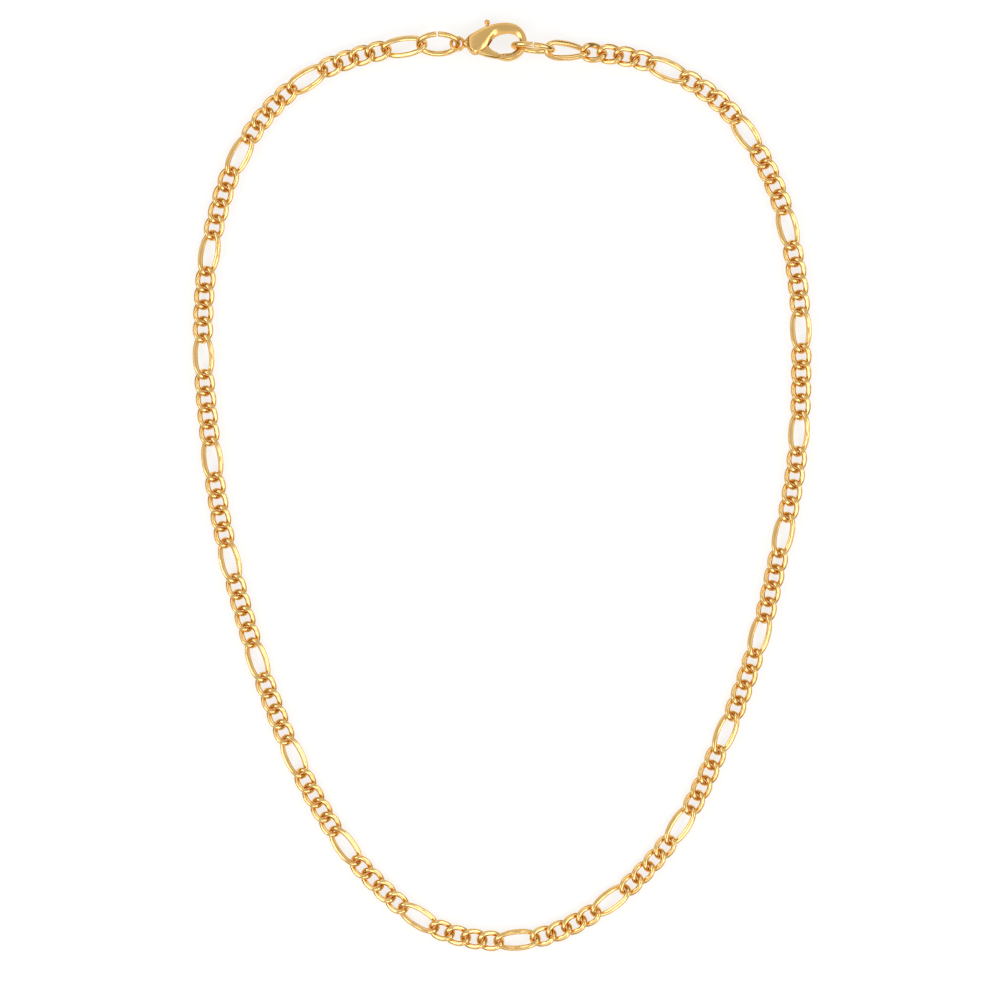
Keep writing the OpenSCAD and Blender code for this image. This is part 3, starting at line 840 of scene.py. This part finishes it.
def gold_plate(name, base, polish, grain_mm, tone):
    """Gold plate over polished brass.

    A metal with a warm yellow face colour, which stays warm at its edges, under a thin
    clear lacquer that adds a weak white gloss. The plate is a little redder where it is
    thin, in patches some links long, and its polish is broken by fine hazy patches, by
    the soft waviness that tumbling leaves and by hairline rubs from handling.
    """
    material, tree = new_material(name)
    place = node(tree, "ShaderNodeTexCoord").outputs["Object"]
    # Patches of thinner plate, about 9 mm across
    patches = node(tree, "ShaderNodeTexNoise",
                   {"Vector": place, "Scale": 1 / (9 * MM), "Detail": 2.0})
    thin = [c * k for c, k in zip(base, (0.98, 0.9, 0.78))]
    shade = node(tree, "ShaderNodeMix",
                 {6: (*base, 1.0), 7: (*thin, 1.0)}, data_type="RGBA")
    spread = node(tree, "ShaderNodeMapRange",
                  {"Value": patches.outputs["Fac"], "From Min": 0.35, "From Max": 0.7,
                   "To Min": 0.0, "To Max": tone})
    tree.links.new(spread.outputs["Result"], shade.inputs["Factor"])
    # Haze of the polish, in patches of about the grain's size
    haze = node(tree, "ShaderNodeTexNoise",
                {"Vector": place, "Scale": 1 / (grain_mm * MM), "Detail": 3.0})
    rough = node(tree, "ShaderNodeMapRange",
                 {"Value": haze.outputs["Fac"], "From Min": 0.3, "From Max": 0.75,
                  "To Min": polish, "To Max": polish + 0.06})
    # Hairline rubs, about 0.08 mm wide and 0.7 mm long, all in one direction
    drawn = node(tree, "ShaderNodeMapping",
                 {"Vector": place, "Scale": (3.0, 0.35, 1.0), "Rotation": (0.0, 0.0, 0.6)})
    rubs = node(tree, "ShaderNodeTexNoise",
                {"Vector": drawn.outputs["Vector"], "Scale": 1 / (0.25 * MM),
                 "Detail": 4.0, "Roughness": 0.7})
    # Soft waviness, about 1.2 mm across
    waves = node(tree, "ShaderNodeTexNoise",
                 {"Vector": place, "Scale": 1 / (1.2 * MM), "Detail": 1.0})
    soft = node(tree, "ShaderNodeBump",
                {"Height": waves.outputs["Fac"], "Strength": 0.25, "Distance": 0.06 * MM})
    fine = node(tree, "ShaderNodeBump",
                {"Height": rubs.outputs["Fac"], "Normal": soft.outputs["Normal"],
                 "Strength": 0.12, "Distance": 0.01 * MM})
    shader = node(tree, "ShaderNodeBsdfPrincipled",
                  {"Base Color": shade.outputs[2], "Metallic": 1.0,
                   "Roughness": rough.outputs["Result"], "Normal": fine.outputs["Normal"],
                   "Specular Tint": (1.0, 0.78, 0.5, 1.0),
                   "Coat Weight": 0.25, "Coat Roughness": 0.1})
    node(tree, "ShaderNodeOutputMaterial", {"Surface": shader.outputs["BSDF"]})
    return material


def floor_board(name, base):
    """Matt white acrylic lit from below.

    Its face glows evenly, so that what lies on it casts only very weak shadows.
    """
    material, tree = new_material(name)
    place = node(tree, "ShaderNodeTexCoord").outputs["Object"]
    tooth = node(tree, "ShaderNodeTexNoise",
                 {"Vector": place, "Scale": 1 / (1.5 * MM), "Detail": 2.0})
    rough = node(tree, "ShaderNodeMapRange",
                 {"Value": tooth.outputs["Fac"], "To Min": 0.75, "To Max": 0.9})
    shader = node(tree, "ShaderNodeBsdfPrincipled",
                  {"Base Color": (*base, 1.0), "Roughness": rough.outputs["Result"],
                   "Specular IOR Level": 0.2, "Emission Color": (1.0, 1.0, 1.0, 1.0),
                   "Emission Strength": 0.62})
    node(tree, "ShaderNodeOutputMaterial", {"Surface": shader.outputs["BSDF"]})
    return material


def triangles(mesh):
    """How many triangles a mesh has."""
    mesh.calc_loop_triangles()
    return len(mesh.loop_triangles)


class NECKLACE_OT_chain(bpy.types.Operator):
    """Builds the twisted links of both halves of the chain"""

    bl_idname = "necklace.chain"
    bl_label = "Chain"

    def execute(self, context):
        chain, _, _, finish = settings()
        gold = gold_plate("polished_gold_plated_brass_wire", tuple(finish.link_gold),
                          0.17, 0.5, 0.8)
        total = chain.repeats * (chain.short_run + 1) + 1
        for name, solid, first, last in (
                ("links_right", "chain_right", 0, total // 2),
                ("links_left", "chain_left", total // 2 + 1, total - 1)):
            mesh = new_mesh(name, *links(first, last))
            if triangles(mesh) > MAX_TRIANGLES:
                raise RuntimeError(f"{name} has too many triangles")
            obj = piece(name, mesh, gold, crease=60)
            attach(obj, "necklace")
            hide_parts(solid)
        return {"FINISHED"}


class NECKLACE_OT_rings(bpy.types.Operator):
    """Builds the two slit jump rings"""

    bl_idname = "necklace.rings"
    bl_label = "Jump rings"

    def execute(self, context):
        _, rings, _, finish = settings()
        gold = gold_plate("polished_gold_plated_brass_ring_wire", tuple(finish.ring_gold),
                          0.19, 0.6, 0.6)
        places, spots = meeting_points()
        for name, solid, p, q, tilt, shift, slit in (
                ("ring_left", "jump_ring_left", spots["left"], spots["eye"],
                 rings.left_tilt, (places["eye_hook"] - places["ring_hook"]) / 4,
                 rings.left_slit),
                ("ring_right", "jump_ring_right", spots["hook_ring"], spots["right"],
                 rings.right_tilt, (places["ring_hook"] - places["rod_hook"]) / 4,
                 rings.right_slit)):
            points, faces = ring_shape(slit)
            mesh = new_mesh(name, placed(points, p, q, tilt, (shift, 0.0, 0.0)), faces)
            obj = piece(name, mesh, gold, crease=60)
            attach(obj, "necklace")
            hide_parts(solid)
        return {"FINISHED"}


class NECKLACE_OT_clasp(bpy.types.Operator):
    """Builds the clasp's cast body with its eye, and the rivet"""

    bl_idname = "necklace.clasp"
    bl_label = "Clasp body"

    def execute(self, context):
        _, _, _, finish = settings()
        gold = gold_plate("polished_gold_plated_cast_brass", tuple(finish.clasp_gold),
                          0.22, 0.7, 0.5)
        shell = clasp_body_mesh()
        if triangles(shell) < MIN_BODY_TRIANGLES:
            raise RuntimeError("the clasp's body lost its skin")
        points = np.empty(len(shell.vertices) * 3, np.float32)
        shell.vertices.foreach_get("co", points)
        shell.vertices.foreach_set(
            "co", lay_clasp(points.reshape(-1, 3)).astype(np.float32).reshape(-1))
        shell.update()
        body = piece("clasp_casting", shell, gold, crease=50)
        eye_points, eye_faces = eye_shapes()
        eye = piece("clasp_eye", new_mesh("clasp_eye", lay_clasp(eye_points), eye_faces),
                    gold, crease=50)
        for obj in (body, eye):
            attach(obj, "necklace")
            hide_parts("clasp_body")
        pin_points, pin_faces = rivet_shape()
        pin = piece("clasp_pin", new_mesh("clasp_pin", lay_clasp(pin_points), pin_faces), gold)
        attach(pin, "necklace")
        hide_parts("clasp_rivet")
        return {"FINISHED"}


class NECKLACE_OT_lever(bpy.types.Operator):
    """Builds the clasp's lever with its gate and thumb nub"""

    bl_idname = "necklace.lever"
    bl_label = "Clasp lever"

    def execute(self, context):
        _, _, _, finish = settings()
        gold = gold_plate("polished_gold_plated_cast_brass_lever",
                          tuple(finish.clasp_gold), 0.2, 0.6, 0.5)
        points, faces = lever_shapes()
        lever = piece("clasp_gate", new_mesh("clasp_gate", lay_clasp(points), faces), gold,
                      crease=50)
        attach(lever, "lever")
        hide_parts("clasp_lever")
        return {"FINISHED"}


class NECKLACE_OT_stage(bpy.types.Operator):
    """Lays the floor and sets the softboxes and the camera"""

    bl_idname = "necklace.stage"
    bl_label = "Stage"

    def execute(self, context):
        _, _, _, finish = settings()
        scene = context.scene
        board = floor_board("matt_white_acrylic_light_table", tuple(finish.floor))
        side = 1.5
        corners = np.array([[-side, -side, 0], [side, -side, 0],
                            [side, side, 0], [-side, side, 0]])
        floor = piece("floor", new_mesh("floor", corners, [np.array([[0, 1, 2, 3]])]), board)

        # A white tent seen in the metal: grey overhead round the camera, bright part
        # of the way down its sides, and dim near the floor. The stops go by height
        world = bpy.data.worlds.new("white_light_tent")
        world.use_nodes = True
        tree = world.node_tree
        tree.nodes.clear()
        way = node(tree, "ShaderNodeTexCoord").outputs["Generated"]
        height = node(tree, "ShaderNodeSeparateXYZ", {"Vector": way}).outputs["Z"]
        ramp = node(tree, "ShaderNodeValToRGB", {"Fac": height})
        ramp.color_ramp.elements.remove(ramp.color_ramp.elements[1])
        for spot, level in TENT:
            stop = (ramp.color_ramp.elements[0] if spot == 0.0
                    else ramp.color_ramp.elements.new(spot))
            stop.position, stop.color = spot, (level, level, level, 1.0)
        room_light = node(tree, "ShaderNodeBackground",
                          {"Color": ramp.outputs["Color"], "Strength": 1.4})
        node(tree, "ShaderNodeOutputWorld", {"Surface": room_light.outputs[0]})
        scene.world = world

        target = Vector((0.0, 0.0, 0.0))
        for name, place, share in (
                ("softbox_left", (-0.5, 0.0, 0.5), 0.9),
                ("softbox_right", (0.5, -0.1, 0.5), 0.8),
                ("softbox_back", (0.0, 0.65, 0.33), 0.2),
                ("softbox_front", (0.05, -0.42, 0.55), 1.0)):
            data = bpy.data.lights.new(name, "AREA")
            data.shape = "RECTANGLE"
            data.size, data.size_y = 0.35, 0.3
            data.energy = finish.light * share
            data.color = (1.0, 0.985, 0.96)
            light = bpy.data.objects.new(name, data)
            light.location = place
            light.rotation_euler = (target - light.location).to_track_quat("-Z", "Y").to_euler()
            scene.collection.objects.link(light)

        # Straight down from 1.1 m, with a lens that fits the picture's width at the chain
        height, sensor = 1.1, 36.0
        data = bpy.data.cameras.new("camera")
        data.sensor_width = sensor
        data.lens = sensor * (height - CHAIN_MIDDLE_H * MM) / (FRAME_WIDTH * MM)
        data.clip_start = 0.01
        camera = bpy.data.objects.new("camera", data)
        camera.location = (FRAME_MIDDLE[0] * MM, FRAME_MIDDLE[1] * MM, height)
        scene.collection.objects.link(camera)
        scene.camera = camera
        scene.view_settings.view_transform = "Standard"
        scene.view_settings.look = "Medium High Contrast"
        return {"FINISHED"}


class NECKLACE_PT_panel(bpy.types.Panel):
    """Sizes, finishes and pieces of the necklace"""

    bl_idname = "NECKLACE_PT_panel"
    bl_label = "Figaro necklace"
    bl_space_type = "VIEW_3D"
    bl_region_type = "UI"
    bl_category = "Necklace"

    def draw(self, context):
        for group in settings():
            box = self.layout.box()
            for key in group.__annotations__:
                box.prop(group, key)
        for operator in OPERATORS:
            self.layout.operator(operator.bl_idname)


GROUPS = (ChainSettings, RingSettings, ClaspSettings, FinishSettings)
OPERATORS = (NECKLACE_OT_chain, NECKLACE_OT_rings, NECKLACE_OT_clasp, NECKLACE_OT_lever,
             NECKLACE_OT_stage)


def register():
    """Registers the classes and hangs the settings on the scene."""
    for cls in (*GROUPS, *OPERATORS, NECKLACE_PT_panel):
        bpy.utils.register_class(cls)
    for name, group in zip(("chain", "rings", "clasp", "finish"), GROUPS):
        setattr(bpy.types.Scene, f"necklace_{name}", PointerProperty(type=group))


def unregister():
    """Takes the settings off the scene and unregisters the classes."""
    for name in ("chain", "rings", "clasp", "finish"):
        delattr(bpy.types.Scene, f"necklace_{name}")
    for cls in reversed((*GROUPS, *OPERATORS, NECKLACE_PT_panel)):
        bpy.utils.unregister_class(cls)


def main():
    """Builds every piece."""
    register()
    bpy.ops.necklace.chain()
    bpy.ops.necklace.rings()
    bpy.ops.necklace.clasp()
    bpy.ops.necklace.lever()
    bpy.ops.necklace.stage()
    bpy.context.view_layer.update()


if __name__ == "__main__":
    main()
